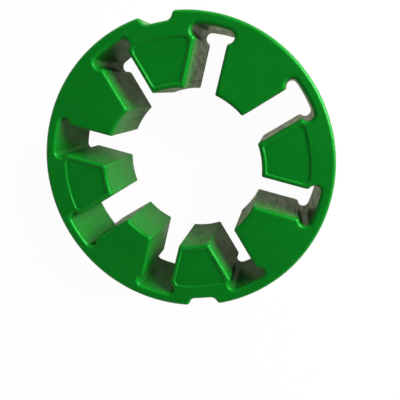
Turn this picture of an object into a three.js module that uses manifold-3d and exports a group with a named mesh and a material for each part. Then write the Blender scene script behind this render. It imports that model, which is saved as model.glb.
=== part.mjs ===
// Coupling elastomer insert: a one-piece moulded polyurethane ring.
// Eight teeth point inwards from a thin outer band, and the slots between them end in a T-shaped head.
// Every second tooth has a shallow pocket in its front face. The rim has two notches, half a turn apart.
// Millimetres, +Z up. The back face lies on Z = 0, and the first notched tooth points along +Y.
import * as THREE from "three";
import { mergeVertices } from "three/addons/utils/BufferGeometryUtils.js";
import Module from "manifold-3d";

// Ring
const outerDiameter = 104;
const thickness = 30;
const boreDiameter = 56; // across the tips of the teeth
const toothCount = 8;
const tipCornerRadius = 0.6; // upright corners at the tip of a tooth
const frontEdgeRadius = 1.2; // rounding where the front face meets the walls
const backEdgeRadius = 0.4; // rounding where the back face meets the walls

// Slots
const slotWidth = 10.6;
const bandThickness = 3.9; // rubber left between a slot and the rim
const headWidth = 14.4; // full width of the T-shaped end of a slot
const headRadius = 2.0; // round ends of the T
const headBlendRadius = 1.3; // soft corner from a flank into the T

// Pockets
const pocketEvery = 2; // one tooth in this many has a pocket
const pocketDepth = 0.4;
const pocketBorder = 1.4; // ridge left along the flanks and the tip
const pocketRimDistance = 7.9; // from the rim to the pocket's outer arc
const pocketTipRadius = 1.0; // its corners near the tip of the tooth
const pocketRimRadius = 2.0; // its corners near the rim, clear of the slots' heads

// Rim notches
const notchCount = 2;
const notchDepth = 2.9;
const notchFloorWidth = 8.8; // between the corners, before they are rounded
const notchSideAngle = THREE.MathUtils.degToRad(61);
const notchFloorRadius = 2.2;
const notchCrestRadius = 1.3;

// Fineness of the facets
const chordError = 0.03; // furthest that a facet may lie from its arc
const frontEdgeFacets = 4;
const backEdgeFacets = 1;

const outerRadius = outerDiameter / 2;
const boreRadius = boreDiameter / 2;
const slotWallRadius = outerRadius - bandThickness;
const halfSlot = slotWidth / 2;
const toothPitch = (2 * Math.PI) / toothCount;
const towardsY = Math.PI / 2;
const toothCentre = towardsY - toothPitch / 2; // seen from a slot that points along +Y

// Points of an arc from one angle to another, both ends included.
function arc(centre, radius, from, to) {
  const facetAngle = 2 * Math.acos(1 - Math.min(chordError / radius, 1));
  const facets = Math.max(1, Math.ceil(Math.abs(to - from) / facetAngle));
  const curve = new THREE.ArcCurve(centre.x, centre.y, radius, from, to, to < from);
  return curve.getPoints(facets);
}

// Centre of a rounding that stands a given distance from the Y axis and from the ring's centre.
function centreAt(fromAxis, fromCentre) {
  return new THREE.Vector2(fromAxis, Math.sqrt(fromCentre ** 2 - fromAxis ** 2));
}

// A half outline that ends on the Y axis, followed by its mirror image.
function withMirror(half) {
  const mirrored = half.map((point) => new THREE.Vector2(-point.x, point.y));
  return [...half, ...mirrored.reverse()];
}

// A closed outline made of copies of one stretch, turned round the ring's centre.
function repeatAround(stretch, count, firstTurn) {
  const outline = [];
  const centre = new THREE.Vector2();
  for (let copy = 0; copy < count; copy += 1) {
    const turn = firstTurn + (copy * 2 * Math.PI) / count;
    outline.push(...stretch.map((point) => point.clone().rotateAround(centre, turn)));
  }
  return withoutDoubles(outline);
}

function withoutDoubles(outline) {
  const nearest = chordError / 10;
  return outline.filter((point, place) => point.distanceTo(outline.at(place - 1)) > nearest);
}

// The upright corner between the tip of a tooth and its flank, rounded or left sharp.
function tipCornerOutline(sharp) {
  const corner = centreAt(halfSlot + tipCornerRadius, boreRadius + tipCornerRadius);
  const rounded = arc(corner, tipCornerRadius, corner.angle() + Math.PI, Math.PI);
  return sharp ? [rounded[0], centreAt(halfSlot, boreRadius)] : rounded;
}

// From the middle of a tooth's tip, along its flank and into the T, to the middle of the slot.
function halfSlotOutline(sharp) {
  const origin = new THREE.Vector2();
  const tipCorner = tipCornerOutline(sharp);
  const head = centreAt(headWidth / 2 - headRadius, slotWallRadius - headRadius);
  const blendX = halfSlot + headBlendRadius;
  const blendDrop = Math.sqrt((headRadius + headBlendRadius) ** 2 - (blendX - head.x) ** 2);
  const blend = new THREE.Vector2(blendX, head.y - blendDrop);
  const intoHead = head.clone().sub(blend).angle();
  return [
    ...arc(origin, boreRadius, toothCentre, tipCorner[0].angle()),
    ...tipCorner,
    ...arc(blend, headBlendRadius, Math.PI, intoHead),
    ...arc(head, headRadius, intoHead - Math.PI, head.angle()),
    ...arc(origin, slotWallRadius, head.angle(), towardsY),
  ];
}

function teethOutline(sharp) {
  return repeatAround(withMirror(halfSlotOutline(sharp)), toothCount, toothPitch / 2);
}

// From the rim beside a notch, over its crest and down its side, to the middle of its floor.
function halfNotchOutline(rimStart) {
  const floorY = outerRadius - notchDepth;
  const corner = new THREE.Vector2(notchFloorWidth / 2, floorY);
  const upTheSide = new THREE.Vector2(Math.cos(notchSideAngle), Math.sin(notchSideAngle));
  const intoRubber = new THREE.Vector2(upTheSide.y, -upTheSide.x);
  const crestStart = corner.clone().addScaledVector(intoRubber, notchCrestRadius);
  const along = crestStart.dot(upTheSide);
  const reach = (outerRadius - notchCrestRadius) ** 2 - crestStart.lengthSq();
  const crest = crestStart.clone().addScaledVector(upTheSide, Math.sqrt(along ** 2 + reach) - along);
  const tangentLength = notchFloorRadius * Math.tan(notchSideAngle / 2);
  const fillet = new THREE.Vector2(corner.x - tangentLength, floorY + notchFloorRadius);
  return [
    ...arc(new THREE.Vector2(), outerRadius, rimStart, crest.angle()),
    ...arc(crest, notchCrestRadius, crest.angle(), towardsY + notchSideAngle),
    ...arc(fillet, notchFloorRadius, notchSideAngle - towardsY, -towardsY),
  ];
}

function rimOutline() {
  const rimStart = towardsY - Math.PI / notchCount;
  return repeatAround(withMirror(halfNotchOutline(rimStart)), notchCount, 0);
}

// The outline of a pocket in the tooth that points along +Y.
function pocketOutline() {
  const origin = new THREE.Vector2();
  const innerRadius = boreRadius + pocketBorder;
  const outerArcRadius = outerRadius - pocketRimDistance;
  const side = halfSlot + pocketBorder;
  const tipCorner = centreAt(side + pocketTipRadius, innerRadius + pocketTipRadius);
  const rimCorner = centreAt(side + pocketRimRadius, outerArcRadius - pocketRimRadius);
  const half = [
    ...arc(origin, innerRadius, toothCentre, tipCorner.angle()),
    ...arc(tipCorner, pocketTipRadius, tipCorner.angle() + Math.PI, Math.PI),
    ...arc(rimCorner, pocketRimRadius, Math.PI, rimCorner.angle()),
    ...arc(origin, outerArcRadius, rimCorner.angle(), toothCentre),
  ];
  const onTooth = half.map((point) => point.clone().rotateAround(origin, toothPitch / 2));
  return withoutDoubles(withMirror(onTooth));
}

// The ring's outline raised between two heights, with both ends rounded by the same radius.
function roundedRing(bottom, top, edgeRadius, edgeFacets, sharp) {
  const shape = new THREE.Shape(rimOutline());
  shape.holes.push(new THREE.Path(teethOutline(sharp)));
  const geometry = new THREE.ExtrudeGeometry(shape, {
    depth: top - bottom - 2 * edgeRadius,
    bevelThickness: edgeRadius,
    bevelSize: edgeRadius,
    bevelOffset: -edgeRadius,
    bevelSegments: edgeFacets,
  });
  return geometry.translate(0, 0, bottom + edgeRadius);
}

// A block that takes one pocket out of the front face.
function pocketCutter(turn) {
  const shape = new THREE.Shape(pocketOutline());
  const geometry = new THREE.ExtrudeGeometry(shape, { depth: 2 * pocketDepth, bevelEnabled: false });
  return geometry.translate(0, 0, thickness - pocketDepth).rotateZ(turn);
}

const manifold = await Module();
manifold.setup();

function toSolid(geometry) {
  const bare = geometry.clone();
  bare.deleteAttribute("normal");
  bare.deleteAttribute("uv");
  const merged = mergeVertices(bare);
  const vertProperties = new Float32Array(merged.attributes.position.array);
  const triVerts = new Uint32Array(merged.index.array);
  return new manifold.Manifold(new manifold.Mesh({ numProp: 3, vertProperties, triVerts }));
}

function toGeometry(solid) {
  const mesh = solid.getMesh();
  const geometry = new THREE.BufferGeometry();
  geometry.setAttribute("position", new THREE.BufferAttribute(mesh.vertProperties, 3));
  geometry.setIndex(new THREE.BufferAttribute(mesh.triVerts, 1));
  geometry.computeVertexNormals();
  return geometry;
}

// Two blanks of one outline share the ring: one has the front edge's rounding and runs on past the
// back face, and the other has the back edge's rounding and runs on past the front face. The first
// has sharp tip corners, where its rounding meets in a mitre, and the second rounds them.
function ringBody() {
  const spare = 2 * Math.max(frontEdgeRadius, backEdgeRadius);
  const front = roundedRing(-spare, thickness, frontEdgeRadius, frontEdgeFacets, true);
  const back = roundedRing(0, thickness + spare, backEdgeRadius, backEdgeFacets, false);
  return toSolid(front).intersect(toSolid(back));
}

function insertGeometry() {
  let solid = ringBody();
  for (let tooth = 0; tooth < toothCount; tooth += pocketEvery) {
    solid = solid.subtract(toSolid(pocketCutter(tooth * toothPitch)));
  }
  return toGeometry(solid);
}

const greenPolyurethane = new THREE.MeshStandardMaterial({
  color: 0x0e7620,
  roughness: 0.42,
  metalness: 0,
});

const insert = new THREE.Mesh(insertGeometry(), greenPolyurethane);
insert.name = "coupling_insert";

const part = new THREE.Group();
part.add(insert);

export default part;
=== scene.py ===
import math

import bpy
import numpy as np
from mathutils import Matrix, Vector
from mathutils.geometry import delaunay_2d_cdt


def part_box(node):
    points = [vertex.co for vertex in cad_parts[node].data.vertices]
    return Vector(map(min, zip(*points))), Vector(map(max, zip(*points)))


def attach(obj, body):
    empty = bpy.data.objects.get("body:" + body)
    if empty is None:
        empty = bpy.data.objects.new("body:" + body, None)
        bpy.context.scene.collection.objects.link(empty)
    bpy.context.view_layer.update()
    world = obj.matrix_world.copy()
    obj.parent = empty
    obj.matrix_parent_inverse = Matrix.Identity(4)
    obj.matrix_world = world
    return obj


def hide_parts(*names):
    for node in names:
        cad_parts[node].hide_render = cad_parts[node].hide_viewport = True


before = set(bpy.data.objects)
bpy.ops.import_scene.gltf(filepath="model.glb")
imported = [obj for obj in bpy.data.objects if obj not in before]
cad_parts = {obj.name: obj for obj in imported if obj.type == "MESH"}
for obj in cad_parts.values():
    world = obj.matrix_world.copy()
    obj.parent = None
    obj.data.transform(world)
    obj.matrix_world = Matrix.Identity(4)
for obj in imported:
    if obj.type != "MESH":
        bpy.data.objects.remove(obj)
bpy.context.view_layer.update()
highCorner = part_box("coupling_insert")[1]
metresPerMm = 0.001
outerRadius = highCorner.x / metresPerMm
thickness = highCorner.z / metresPerMm
print("frame loaded: outer radius", round(outerRadius, 2), "mm, thickness", round(thickness, 2), "mm")

towardsY = math.pi / 2

# Ring, in millimetres
ring = {
    "teeth": 8,
    "boreDiameter": 56.0,  # across the tips of the teeth
    "slotWidth": 10.6,
    "bandThickness": 3.9,  # rubber left between a slot and the rim
    "headWidth": 14.4,  # full width of the T-shaped end of a slot
    "headRadius": 2.0,
    "headBlendRadius": 1.3,  # from a flank into the T
    "tipCornerRadius": 0.6,  # upright corners at a tooth's tip
    "frontEdgeRadius": 1.2,
    "backEdgeRadius": 0.4,
    "cornerSoftening": 0.5,  # how fast the plan corners change on the front rounding
    "notches": 2,
    "notchDepth": 2.9,
    "notchFloorWidth": 8.8,
    "notchSideAngle": math.radians(61),
    "notchFloorRadius": 2.2,
    "notchCrestRadius": 1.3,
    "pocketEvery": 2,  # one tooth in this many has a pocket
    "pocketDepth": 0.4,
    "pocketBorder": 1.4,  # ridge beside the pocket
    "pocketRimDistance": 7.9,
    "pocketTipRadius": 1.0,  # its corners near the tip
    "pocketRimRadius": 2.0,  # its corners near the rim, clear of the slots' heads
    "pocketEdgeRadius": 0.2,  # where its wall meets the front face
    "pocketWallSlope": math.radians(55),  # steepest slope of its soft wall
    "points": {  # of the mesh, along each stretch
        "tip": 8,
        "tipCorner": 9,
        "headBlend": 12,
        "head": 22,
        "slotWall": 6,
        "rim": 90,
        "notchCrest": 11,
        "notchFillet": 10,
        "pocketTip": 10,
        "pocketTipCorner": 11,
        "pocketRimCorner": 12,
        "pocketRim": 12,
        "backEdge": 5,
        "frontEdge": 13,
        "pocketSlope": 7,
    },
}

toothPitch = 2 * math.pi / ring["teeth"]
toothCentre = towardsY - toothPitch / 2  # seen from a slot that points along +Y


def arcGrid(centreX, centreY, radius, start, end, count, facing, toEnd=False):
    # Point = centre + radius (cos a, sin a), with a running evenly from start to end, or to just short
    # of it. Each of the first five has one value for each level. The normal is facing (cos a, sin a).
    steps = np.linspace(0, 1, count, endpoint=toEnd)
    angle = start[:, None] + (end - start)[:, None] * steps
    direction = np.stack([np.cos(angle), np.sin(angle)], axis=2)
    centre = np.stack([centreX, centreY], axis=1)[:, None, :]
    return centre + radius[:, None, None] * direction, facing * direction


def lineEnd(x, y, normalX, normalY):
    # One last point for each level, to close a stretch of arcs.
    point = np.stack([x, y], axis=1)[:, None, :]
    normal = np.broadcast_to(np.array([normalX, normalY]), point.shape)
    return point, normal


def joined(stretches):
    # One stretch after another at each level, points and normals alike.
    return tuple(np.concatenate(parts, axis=1) for parts in zip(*stretches))


def withMirror(half):
    # The half stretch ends on the Y axis, and its mirror image follows without the shared ends.
    flip = np.array([-1.0, 1.0])
    return tuple(np.concatenate([a, (a * flip)[:, -2:0:-1]], axis=1) for a in half)


def turned(outline, angle):
    # Points and normals turned about the ring's axis, from +X towards +Y.
    turn = np.array([[math.cos(angle), math.sin(angle)], [-math.sin(angle), math.cos(angle)]])
    return tuple(a @ turn for a in outline)


def repeated(stretch, count, firstTurn):
    # Copies of one stretch, spaced evenly round the ring.
    copies = [turned(stretch, firstTurn + copy * 2 * math.pi / count) for copy in range(count)]
    return joined(copies)


def teethOutline(inset):
    # The voids grow by the inset: bore, slot, head and wall arcs keep their centres and gain radius.
    # The rubber's own corners change radius slowly, which keeps them soft on the front rounding.
    zero = np.zeros_like(inset)
    halfSlot = ring["slotWidth"] / 2 + inset
    bore = ring["boreDiameter"] / 2 + inset
    wall = outerRadius - ring["bandThickness"] + inset
    head = ring["headRadius"] + inset
    headX = ring["headWidth"] / 2 - ring["headRadius"] + zero
    headY = np.sqrt((wall - head) ** 2 - headX**2)
    tip = ring["tipCornerRadius"] + ring["cornerSoftening"] * inset
    tipX = halfSlot + tip
    tipY = np.sqrt((bore + tip) ** 2 - tipX**2)
    blend = ring["headBlendRadius"] - ring["cornerSoftening"] * inset
    blendX = halfSlot + blend
    blendY = headY - np.sqrt((head + blend) ** 2 - (blendX - headX) ** 2)
    tipAngle = np.arctan2(tipY, tipX)
    headAngle = np.arctan2(headY, headX)
    intoHead = np.arctan2(headY - blendY, headX - blendX)
    middle = toothCentre + zero
    flank = math.pi + zero
    points = ring["points"]
    half = joined([
        arcGrid(zero, zero, bore, middle, tipAngle, points["tip"], -1),
        arcGrid(tipX, tipY, tip, tipAngle + math.pi, flank, points["tipCorner"], 1, True),
        arcGrid(blendX, blendY, blend, flank, intoHead, points["headBlend"], 1),
        arcGrid(headX, headY, head, intoHead - math.pi, headAngle, points["head"], -1),
        arcGrid(zero, zero, wall, headAngle, towardsY + zero, points["slotWall"], -1),
        lineEnd(zero, wall, 0, -1),
    ])
    outline = repeated(withMirror(half), ring["teeth"], toothPitch / 2)
    return tuple(a[:, ::-1] for a in outline)


def rimOutline(inset):
    # The rim circle shrinks by the inset, and the notch's floor and sides move into the rubber by it.
    zero = np.zeros_like(inset)
    rim = outerRadius - inset
    side = ring["notchSideAngle"]
    up = np.array([math.cos(side), math.sin(side)])
    intoRubber = np.array([up[1], -up[0]])
    floorY = outerRadius - ring["notchDepth"]
    crest = ring["notchCrestRadius"] - ring["cornerSoftening"] * inset
    start = np.array([ring["notchFloorWidth"] / 2, floorY]) + (inset + crest)[:, None] * intoRubber
    along = start @ up
    reach = (rim - crest) ** 2 - (start**2).sum(axis=1)
    centre = start + up * (np.sqrt(along**2 + reach) - along)[:, None]
    crestAngle = np.arctan2(centre[:, 1], centre[:, 0])
    filletX = ring["notchFloorWidth"] / 2 - ring["notchFloorRadius"] * math.tan(side / 2) + zero
    filletY = floorY + ring["notchFloorRadius"] + zero
    fillet = ring["notchFloorRadius"] + inset
    rimStart = towardsY - math.pi / ring["notches"] + zero
    crestX, crestY = centre.T
    points = ring["points"]
    half = joined([
        arcGrid(zero, zero, rim, rimStart, crestAngle, points["rim"], 1),
        arcGrid(crestX, crestY, crest, crestAngle, towardsY + side + zero, points["notchCrest"], 1, True),
        arcGrid(filletX, filletY, fillet, side - towardsY + zero, -towardsY + zero,
                points["notchFillet"], -1),
        lineEnd(filletX, filletY - fillet, 0, 1),
        lineEnd(zero, filletY - fillet, 0, 1),
    ])
    return repeated(withMirror(half), ring["notches"], 0)


def pocketOutline(grow):
    # The pocket on the tooth that points along +Y, grown by a distance. All its centres stay put.
    zero = np.zeros_like(grow)
    inner = ring["boreDiameter"] / 2 + ring["pocketBorder"]
    outer = outerRadius - ring["pocketRimDistance"]
    tip = ring["pocketTipRadius"]
    rim = ring["pocketRimRadius"]
    side = ring["slotWidth"] / 2 + ring["pocketBorder"]
    tipX = side + tip + zero
    tipY = np.sqrt((inner + tip) ** 2 - tipX**2)
    rimX = side + rim + zero
    rimY = np.sqrt((outer - rim) ** 2 - rimX**2)
    tipAngle = np.arctan2(tipY, tipX)
    rimAngle = np.arctan2(rimY, rimX)
    middle = toothCentre + zero
    flank = math.pi + zero
    points = ring["points"]
    half = joined([
        arcGrid(zero, zero, inner - grow, middle, tipAngle, points["pocketTip"], 1),
        arcGrid(tipX, tipY, tip + grow, tipAngle + math.pi, flank, points["pocketTipCorner"], -1, True),
        arcGrid(rimX, rimY, rim + grow, flank, rimAngle, points["pocketRimCorner"], -1),
        arcGrid(zero, zero, outer + grow, rimAngle, middle, points["pocketRim"], -1),
        arcGrid(zero, zero, outer + grow, middle, middle, 1, -1),
    ])
    return withMirror(turned(half, toothPitch / 2))


def quarterTurn(count):
    # Angles from zero to a right angle, in even steps.
    return np.linspace(0, math.pi / 2, count)


def ringProfile():
    # Levels of the wall from back face to front face, as inset, height and the normal's tilt upwards.
    back = quarterTurn(ring["points"]["backEdge"])
    front = quarterTurn(ring["points"]["frontEdge"])
    backRadius = ring["backEdgeRadius"]
    frontRadius = ring["frontEdgeRadius"]
    inset = np.concatenate([backRadius * (1 - np.cos(back[::-1])), frontRadius * (1 - np.cos(front))])
    height = np.concatenate([
        backRadius * (1 - np.sin(back[::-1])),
        thickness - frontRadius * (1 - np.sin(front)),
    ])
    return inset, height, np.concatenate([-back[::-1], front])


def pocketProfile():
    # Levels of a pocket's wall from its floor to the front face, as growth, height and tilt. Two arcs
    # meet at the steepest slope, and together they make up the depth.
    steepest = ring["pocketWallSlope"]
    edgeRadius = ring["pocketEdgeRadius"]
    floorRadius = ring["pocketDepth"] / (1 - math.cos(steepest)) - edgeRadius
    floor = thickness - ring["pocketDepth"]
    steeper = np.linspace(0, steepest, ring["points"]["pocketSlope"])
    flatter = steeper[-2::-1]
    grow = np.concatenate([
        floorRadius * (np.sin(steeper) - math.sin(steepest)),
        edgeRadius * (math.sin(steepest) - np.sin(flatter)),
    ])
    height = np.concatenate([
        floor + floorRadius * (1 - np.cos(steeper)),
        thickness - edgeRadius * (1 - np.cos(flatter)),
    ])
    return grow, height, math.pi / 2 - np.concatenate([steeper, flatter])


class Shell:
    # Collects grids and flat faces that share their edge points into one closed mesh.
    def __init__(self):
        self.points = np.zeros((0, 3))
        self.normals = np.zeros((0, 3))
        self.faces = []

    def addWall(self, outline, height, tilt):
        # Point = (outline, height), normal = cos(tilt) outline's normal + sin(tilt) Z.
        # Every outline keeps the rubber on its left. Gives back the row numbers of the grid.
        points, normals = outline
        levels, count = points.shape[:2]
        lift = np.broadcast_to(height[:, None, None], (levels, count, 1))
        flat = np.cos(tilt)[:, None, None] * normals
        rise = np.broadcast_to(np.sin(tilt)[:, None, None], (levels, count, 1))
        first = len(self.points)
        self.points = np.concatenate([self.points, np.dstack([points, lift]).reshape(-1, 3)])
        self.normals = np.concatenate([self.normals, np.dstack([flat, rise]).reshape(-1, 3)])
        rows = first + np.arange(levels * count).reshape(levels, count)
        after = np.roll(rows, -1, axis=1)
        quads = np.stack([rows[:-1], after[:-1], after[1:], rows[1:]], axis=2)
        self.faces += quads.reshape(-1, 4).tolist()
        return rows

    def addFlat(self, loops, up):
        # Triangles between closed loops of points that are there already. A triangle is kept where a
        # line from its middle towards +X crosses the loops an odd number of times.
        index = np.concatenate(loops)
        flat = self.points[index][:, :2]
        starts = np.cumsum([0] + [len(loop) for loop in loops])
        edges = [(a + i, a + (i + 1) % (b - a))
                 for a, b in zip(starts, starts[1:]) for i in range(b - a)]
        nearest = 1e-7  # mm, closer points would become one
        found = delaunay_2d_cdt([Vector(p) for p in flat.tolist()], edges, [], 0, nearest)
        same = np.array([origins[0] for origins in found[3]])
        triangles = same[np.array(found[2])]
        middle = flat[triangles].mean(axis=1)
        a, b = flat[[e[0] for e in edges]], flat[[e[1] for e in edges]]
        spans = (a[:, 1] > middle[:, 1, None]) != (b[:, 1] > middle[:, 1, None])
        rise = np.where(a[:, 1] == b[:, 1], 1, b[:, 1] - a[:, 1])
        crossing = a[:, 0] + (middle[:, 1, None] - a[:, 1]) / rise * (b[:, 0] - a[:, 0])
        inside = (spans & (crossing > middle[:, 0, None])).sum(axis=1) % 2 == 1
        triangles = triangles[inside]
        p, q, r = flat[triangles[:, 0]], flat[triangles[:, 1]], flat[triangles[:, 2]]
        area = (q[:, 0] - p[:, 0]) * (r[:, 1] - p[:, 1]) - (q[:, 1] - p[:, 1]) * (r[:, 0] - p[:, 0])
        wrongWay = (area < 0) == up
        triangles[wrongWay] = triangles[wrongWay][:, ::-1]
        self.faces += index[triangles].tolist()

    def toObject(self, name):
        # The points are millimetres up to here, and the mesh has metres.
        mesh = bpy.data.meshes.new(name)
        mesh.from_pydata((self.points * metresPerMm).tolist(), [], self.faces)
        mesh.shade_smooth()
        mesh.normals_split_custom_set_from_vertices(self.normals.tolist())
        mesh.validate()
        piece = bpy.data.objects.new(name, mesh)
        bpy.context.scene.collection.objects.link(piece)
        return piece


def buildRing():
    shell = Shell()
    inset, height, tilt = ringProfile()
    rim = shell.addWall(rimOutline(inset), height, tilt)
    teeth = shell.addWall(teethOutline(inset), height, tilt)
    grow, pocketHeight, pocketTilt = pocketProfile()
    pockets = []
    for tooth in range(0, ring["teeth"], ring["pocketEvery"]):
        outline = turned(pocketOutline(grow), tooth * toothPitch)
        pockets.append(shell.addWall(outline, pocketHeight, pocketTilt))
    shell.addFlat([rim[-1], teeth[-1]] + [pocket[-1] for pocket in pockets], True)
    shell.addFlat([rim[0], teeth[0]], False)
    for pocket in pockets:
        shell.addFlat([pocket[0]], True)
    return shell.toObject("polyurethane_ring")


# Cast polyurethane
polyurethane = {
    "colour": "07731a",
    "colourDeep": "066917",  # where the cast is a little denser
    "sheenColour": "40ff60",  # the dyed skin lets light in a little way, so its sheen is green
    "roughness": (0.4, 0.5),  # in its smooth and its dull patches
    "ior": 1.62,  # polyurethane's own is about 1.5, and a little more matches the sheen
    "skinWeight": (0.12, 0.48),  # worn and whole: a thin smooth skin that shows at grazing angles
    "skinRoughness": 0.18,
    "skinIor": 1.25,
    "depthWeight": 0.5,  # share of the light that scatters under the skin
    "depthSpread": (0.25, 1.0, 0.3),  # red, green and blue
    "depthReach": 4.0,  # mm
    "streakSize": 1.6,  # mm across, drawn out along the ring's axis
    "streakStretch": 0.2,
    "streakHeight": 0.05,  # mm
    "streakRange": (0.35, 0.65),  # of the noise, from worn to whole skin
    "cloudSize": 22.0,  # mm, slow drift of the colour
    "sheenPatchSize": 7.0,  # mm, patches that are a little duller
    "sheenPatchRange": (0.3, 0.7),  # of the noise, from smooth to dull
    "waveSize": 9.0,  # mm, slow waves that the mould leaves
    "waveHeight": 0.05,  # mm
    "grainSize": 0.7,  # mm, fine orange peel
    "grainHeight": 0.006,  # mm
}


def linear(hexColour):
    # sRGB hex to linear red, green, blue and alpha.
    parts = np.array([int(hexColour[i:i + 2], 16) for i in (0, 2, 4)]) / 255
    low = parts / 12.92
    high = ((parts + 0.055) / 1.055) ** 2.4
    return (*np.where(parts <= 0.04045, low, high).tolist(), 1.0)


def addNode(tree, kind, settings=None, links=None):
    # Settings go to the node's own values or, by name, to its sockets. Links say which output feeds
    # which socket.
    node = tree.nodes.new(kind)
    for name, value in (settings or {}).items():
        if name in node.bl_rna.properties:
            setattr(node, name, value)
        else:
            node.inputs[name].default_value = value
    for name, output in (links or {}).items():
        tree.links.new(output, node.inputs[name])
    return node


def perMetre(sizeInMm):
    # A noise of scale 1 has features about one unit apart.
    return 1 / (sizeInMm * metresPerMm)


def castPolyurethane():
    # Cast polyurethane, semi-gloss straight from the mould: a deep even green that light enters a
    # little way. Its rounded edges have a soft green sheen. A thin smooth skin gives the walls a clear
    # grazing reflection, which is patchy where the mould drew faint marks along the ring's axis.
    material = bpy.data.materials.new("cast_polyurethane_green")
    material.use_nodes = True
    tree = material.node_tree
    tree.nodes.clear()
    place = addNode(tree, "ShaderNodeTexCoord").outputs["Object"]

    cloud = addNode(tree, "ShaderNodeTexNoise",
                    {"Scale": perMetre(polyurethane["cloudSize"]), "Detail": 3.0}, {"Vector": place})
    colour = addNode(tree, "ShaderNodeMix",
                     {"data_type": "RGBA"}, {"Factor": cloud.outputs["Fac"]})
    colour.inputs[6].default_value = linear(polyurethane["colourDeep"])
    colour.inputs[7].default_value = linear(polyurethane["colour"])

    patches = addNode(tree, "ShaderNodeTexNoise",
                      {"Scale": perMetre(polyurethane["sheenPatchSize"]), "Detail": 4.0}, {"Vector": place})
    low, high = polyurethane["sheenPatchRange"]
    smooth, dull = polyurethane["roughness"]
    roughness = addNode(tree, "ShaderNodeMapRange",
                        {"From Min": low, "From Max": high, "To Min": smooth, "To Max": dull},
                        {"Value": patches.outputs["Fac"]})

    waves = addNode(tree, "ShaderNodeTexNoise",
                    {"Scale": perMetre(polyurethane["waveSize"]), "Detail": 1.0}, {"Vector": place})
    slow = addNode(tree, "ShaderNodeBump",
                   {"Strength": 1.0, "Distance": polyurethane["waveHeight"] * metresPerMm},
                   {"Height": waves.outputs["Fac"]})
    drawn = addNode(tree, "ShaderNodeMapping",
                    {"Scale": (1, 1, polyurethane["streakStretch"])}, {"Vector": place})
    streaks = addNode(tree, "ShaderNodeTexNoise",
                      {"Scale": perMetre(polyurethane["streakSize"]), "Detail": 2.0},
                      {"Vector": drawn.outputs["Vector"]})
    drawMarks = addNode(tree, "ShaderNodeBump",
                        {"Strength": 1.0, "Distance": polyurethane["streakHeight"] * metresPerMm},
                        {"Height": streaks.outputs["Fac"], "Normal": slow.outputs["Normal"]})
    low, high = polyurethane["streakRange"]
    worn, whole = polyurethane["skinWeight"]
    skin = addNode(tree, "ShaderNodeMapRange",
                   {"From Min": low, "From Max": high, "To Min": worn, "To Max": whole},
                   {"Value": streaks.outputs["Fac"]})

    grain = addNode(tree, "ShaderNodeTexNoise",
                    {"Scale": perMetre(polyurethane["grainSize"]), "Detail": 2.0}, {"Vector": place})
    fine = addNode(tree, "ShaderNodeBump",
                   {"Strength": 1.0, "Distance": polyurethane["grainHeight"] * metresPerMm},
                   {"Height": grain.outputs["Fac"], "Normal": drawMarks.outputs["Normal"]})

    shader = addNode(tree, "ShaderNodeBsdfPrincipled",
                     {"IOR": polyurethane["ior"], "Specular Tint": linear(polyurethane["sheenColour"]),
                      "Coat Roughness": polyurethane["skinRoughness"],
                      "Coat IOR": polyurethane["skinIor"],
                      "Subsurface Weight": polyurethane["depthWeight"],
                      "Subsurface Radius": polyurethane["depthSpread"],
                      "Subsurface Scale": polyurethane["depthReach"] * metresPerMm},
                     {"Base Color": colour.outputs[2], "Roughness": roughness.outputs["Result"],
                      "Coat Weight": skin.outputs["Result"], "Coat Normal": fine.outputs["Normal"],
                      "Normal": fine.outputs["Normal"]})
    addNode(tree, "ShaderNodeOutputMaterial", links={"Surface": shader.outputs["BSDF"]})
    return material


# Studio
studio = {
    "floorSize": 3.0,  # m
    "floorDrop": 0.0002,  # m, keeps the floor clear of the back face
    "floorColour": "f5f1e8",
    "floorGlow": 0.97,  # share of plain white in what the eye sees of the floor
    "floorGlowMirrored": (0.74, 0.06),  # the same share in reflections, straight on and slanted
    "slanted": 0.11,  # 1 - cosine of the angle from upright at which a line of sight counts as slanted
    "paintedReflectionTint": "fbffde",  # painted reflection: the pale green that the floor glows with in reflections only
    "wallStrength": 1.0,  # white walls all round
    "ceilingStrength": 0.04,  # dim ceiling
    "wallTop": math.radians(14),  # the walls are white up to here
    "ceilingStart": math.radians(38),  # and the dim ceiling starts here
    "keySize": 0.5,  # m across
    "keyPower": 12.4,  # W
    "keyDistance": 0.75,  # m from the ring
    "keyAzimuth": math.radians(20),  # from +X towards +Y
    "keyHeight": math.radians(26),  # above the floor
}


def whiteForEye(tree, seen, mirrored):
    # Share = seen where the camera looks itself, mirrored in a reflection or through clear material,
    # and nothing for the light that the floor gives back.
    path = addNode(tree, "ShaderNodeLightPath")
    other = addNode(tree, "ShaderNodeMath", {"operation": "MAXIMUM"})
    tree.links.new(path.outputs["Is Glossy Ray"], other.inputs[0])
    tree.links.new(path.outputs["Is Transmission Ray"], other.inputs[1])
    reflected = addNode(tree, "ShaderNodeMath", {"operation": "MULTIPLY"})
    tree.links.new(other.outputs[0], reflected.inputs[0])
    tree.links.new(mirrored, reflected.inputs[1])
    share = addNode(tree, "ShaderNodeMath", {"operation": "MULTIPLY_ADD"})
    tree.links.new(path.outputs["Is Camera Ray"], share.inputs[0])
    share.inputs[1].default_value = seen
    tree.links.new(reflected.outputs[0], share.inputs[2])
    return share.outputs[0]


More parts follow.
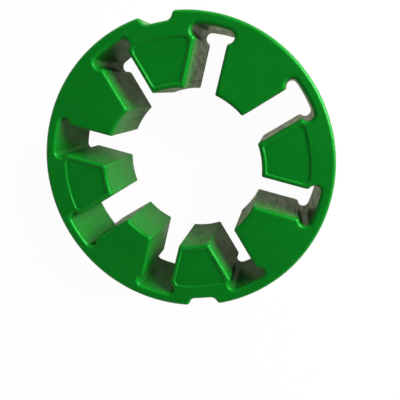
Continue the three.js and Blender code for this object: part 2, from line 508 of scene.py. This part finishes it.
def paleFloor():
    # Matt pale studio paper. To the eye most of it is plain white, so that only a faint shadow stays.
    # In reflections it glows as a painted reflection for the ring's walls, tinted pale green and dimmer the
    # more slanted the line of sight is.
    material = bpy.data.materials.new("pale_studio_floor")
    material.use_nodes = True
    tree = material.node_tree
    tree.nodes.clear()
    paper = addNode(tree, "ShaderNodeBsdfDiffuse", {"Color": linear(studio["floorColour"])})
    path = addNode(tree, "ShaderNodeLightPath")
    # Painted reflection tint: the glow is pale green in reflections and white to the eye.
    tone = addNode(tree, "ShaderNodeMix", {"data_type": "RGBA"}, {"Factor": path.outputs["Is Camera Ray"]})
    tone.inputs[6].default_value = linear(studio["paintedReflectionTint"])
    tone.inputs[7].default_value = (1, 1, 1, 1)
    glow = addNode(tree, "ShaderNodeEmission", {"Strength": 1.0}, {"Color": tone.outputs[2]})
    facing = addNode(tree, "ShaderNodeLayerWeight", {"Blend": 0.5}).outputs["Facing"]
    straightOn, slanted = studio["floorGlowMirrored"]
    mirrored = addNode(tree, "ShaderNodeMapRange",
                       {"From Min": 0.0, "From Max": studio["slanted"],
                        "To Min": straightOn, "To Max": slanted},
                       {"Value": facing})
    mix = addNode(tree, "ShaderNodeMixShader",
                  links={"Fac": whiteForEye(tree, studio["floorGlow"], mirrored.outputs["Result"])})
    tree.links.new(paper.outputs["BSDF"], mix.inputs[1])
    tree.links.new(glow.outputs["Emission"], mix.inputs[2])
    addNode(tree, "ShaderNodeOutputMaterial", links={"Surface": mix.outputs["Shader"]})
    return material


def buildFloor():
    half = studio["floorSize"] / 2
    corners = [(-half, -half, 0), (half, -half, 0), (half, half, 0), (-half, half, 0)]
    mesh = bpy.data.meshes.new("studio_floor")
    mesh.from_pydata(corners, [], [(0, 1, 2, 3)])
    floor = bpy.data.objects.new("studio_floor", mesh)
    floor.location.z = -studio["floorDrop"]
    bpy.context.scene.collection.objects.link(floor)
    mesh.materials.append(paleFloor())
    return floor


def lightSky():
    # White walls up to a height, fading to a dim ceiling. Height is the sine of the angle above the
    # horizon.
    world = bpy.data.worlds.new("studio_sky")
    bpy.context.scene.world = world
    world.use_nodes = True
    tree = world.node_tree
    tree.nodes.clear()
    direction = addNode(tree, "ShaderNodeTexCoord").outputs["Generated"]
    height = addNode(tree, "ShaderNodeSeparateXYZ", links={"Vector": direction}).outputs["Z"]
    strength = addNode(tree, "ShaderNodeMapRange",
                       {"interpolation_type": "SMOOTHSTEP",
                        "From Min": math.sin(studio["wallTop"]),
                        "From Max": math.sin(studio["ceilingStart"]),
                        "To Min": studio["wallStrength"], "To Max": studio["ceilingStrength"]},
                       {"Value": height})
    sky = addNode(tree, "ShaderNodeBackground",
                  {"Color": (1, 1, 1, 1)}, {"Strength": strength.outputs["Result"]})
    addNode(tree, "ShaderNodeOutputWorld", links={"Surface": sky.outputs["Background"]})


def addLamp(name, azimuth, height, distance, size, power):
    # A round soft light that faces the middle of the ring.
    lamp = bpy.data.lights.new(name, "AREA")
    lamp.shape = "DISK"
    lamp.size = size
    lamp.energy = power
    holder = bpy.data.objects.new(name, lamp)
    level = math.cos(height)
    away = Vector((level * math.cos(azimuth), level * math.sin(azimuth), math.sin(height)))
    holder.location = away * distance
    holder.rotation_euler = away.to_track_quat("Z", "Y").to_euler()
    bpy.context.scene.collection.objects.link(holder)


# Camera
view = {
    "place": (0.0401, 0.0215, 0.1833),  # m
    "aim": (-0.0012, -0.0199, 0.0300),  # m, on the front face
    "roll": math.radians(-9.5),  # from +Y upright
    "lens": 40.7,  # mm on a 36 mm sensor
    "shift": (0.033, 0.064),  # the ring sits above the middle of the frame
}


def addCamera():
    # The camera's right, up and back, with its up nearest to +Y before the roll.
    lens = bpy.data.cameras.new("studio_camera")
    lens.lens = view["lens"]
    lens.shift_x, lens.shift_y = view["shift"]
    camera = bpy.data.objects.new("studio_camera", lens)
    bpy.context.scene.collection.objects.link(camera)
    place = Vector(view["place"])
    back = (place - Vector(view["aim"])).normalized()
    right = Vector((0, 1, 0)).cross(back).normalized()
    upright = Matrix((right, back.cross(right), back)).transposed()
    rolled = Matrix.Rotation(view["roll"], 3, back) @ upright
    camera.matrix_world = Matrix.Translation(place) @ rolled.to_4x4()
    bpy.context.scene.camera = camera


piece = buildRing()
piece.data.materials.append(castPolyurethane())
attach(piece, "root")
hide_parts("coupling_insert")
print("ring built:", len(piece.data.polygons), "faces")

floor = buildFloor()
lightSky()
addLamp("key_lamp", studio["keyAzimuth"], studio["keyHeight"], studio["keyDistance"],
        studio["keySize"], studio["keyPower"])
addCamera()
bpy.context.scene.view_settings.view_transform = "Standard"
print("studio built")
